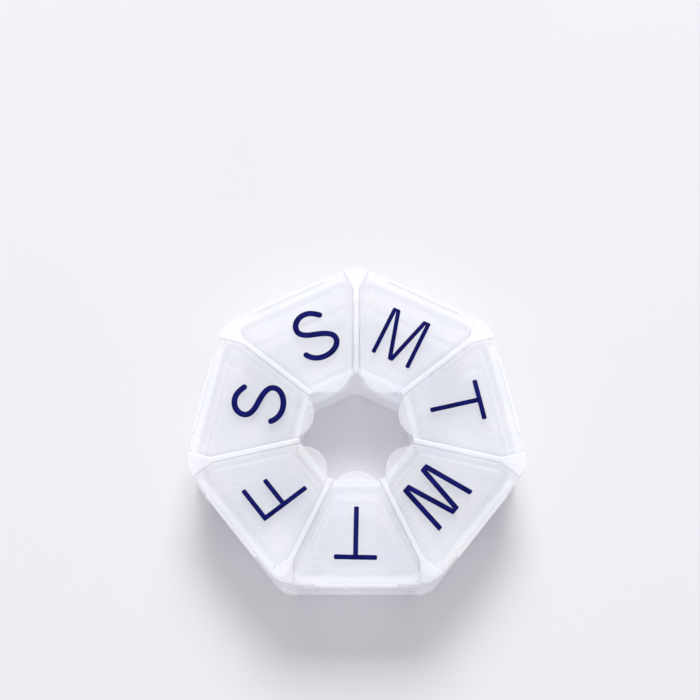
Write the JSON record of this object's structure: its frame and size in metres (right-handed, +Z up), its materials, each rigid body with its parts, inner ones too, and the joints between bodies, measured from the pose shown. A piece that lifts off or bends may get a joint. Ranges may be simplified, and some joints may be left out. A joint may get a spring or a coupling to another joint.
{
  "type": "weekly pill box",
  "caption": "Heptagonal ring pill box with an open hub: a divided tray with a living-hinged, tabbed lid over each day's well.",
  "frame": {"origin": "middle of the ring, on the face that the box rests on", "axes": "+Z up through the hub, -Y to the front where the Thursday lid is, +X to the right"},
  "size_m": [0.0758, 0.0747, 0.0184],
  "materials": {
    "tray_plastic": "frosted translucent polypropylene",
    "lid_plastic": "translucent polypropylene, satin",
    "hinge_plastic": "flexed white polypropylene web"
  },
  "bodies": {
    "tray": {"tray": "tray_plastic", "hinge_sunday": "hinge_plastic", "hinge_monday": "hinge_plastic", "hinge_tuesday": "hinge_plastic", "hinge_wednesday": "hinge_plastic", "hinge_thursday": "hinge_plastic", "hinge_friday": "hinge_plastic", "hinge_saturday": "hinge_plastic"},
    "lid_sunday": {"lid_sunday": "lid_plastic"},
    "lid_monday": {"lid_monday": "lid_plastic"},
    "lid_tuesday": {"lid_tuesday": "lid_plastic"},
    "lid_wednesday": {"lid_wednesday": "lid_plastic"},
    "lid_thursday": {"lid_thursday": "lid_plastic"},
    "lid_friday": {"lid_friday": "lid_plastic"},
    "lid_saturday": {"lid_saturday": "lid_plastic"}
  },
  "joints": [
    {"name": "sunday_lid_hinge", "type": "hinge", "parent": "tray", "child": "lid_sunday", "pos_m": [-0.01558, 0.03234, 0.0167], "axis": [-0.901, -0.4339, 0], "range_deg": [0, 180], "deforming": ["hinge_sunday"]},
    {"name": "monday_lid_hinge", "type": "hinge", "parent": "tray", "child": "lid_monday", "pos_m": [0.01558, 0.03234, 0.0167], "axis": [-0.901, 0.4339, 0], "range_deg": [0, 180], "deforming": ["hinge_monday"]},
    {"name": "tuesday_lid_hinge", "type": "hinge", "parent": "tray", "child": "lid_tuesday", "pos_m": [0.035, 0.00799, 0.0167], "axis": [-0.2225, 0.9749, 0], "range_deg": [0, 180], "deforming": ["hinge_tuesday"]},
    {"name": "wednesday_lid_hinge", "type": "hinge", "parent": "tray", "child": "lid_wednesday", "pos_m": [0.02807, -0.02238, 0.0167], "axis": [0.6235, 0.7818, 0], "range_deg": [0, 180], "deforming": ["hinge_wednesday"]},
    {"name": "thursday_lid_hinge", "type": "hinge", "parent": "tray", "child": "lid_thursday", "pos_m": [0, -0.0359, 0.0167], "axis": [1, 0, 0], "range_deg": [0, 180], "deforming": ["hinge_thursday"]},
    {"name": "friday_lid_hinge", "type": "hinge", "parent": "tray", "child": "lid_friday", "pos_m": [-0.02807, -0.02238, 0.0167], "axis": [0.6235, -0.7818, 0], "range_deg": [0, 180], "deforming": ["hinge_friday"]},
    {"name": "saturday_lid_hinge", "type": "hinge", "parent": "tray", "child": "lid_saturday", "pos_m": [-0.035, 0.00799, 0.0167], "axis": [-0.2225, -0.9749, 0], "range_deg": [0, 180], "deforming": ["hinge_saturday"]}
  ]
}
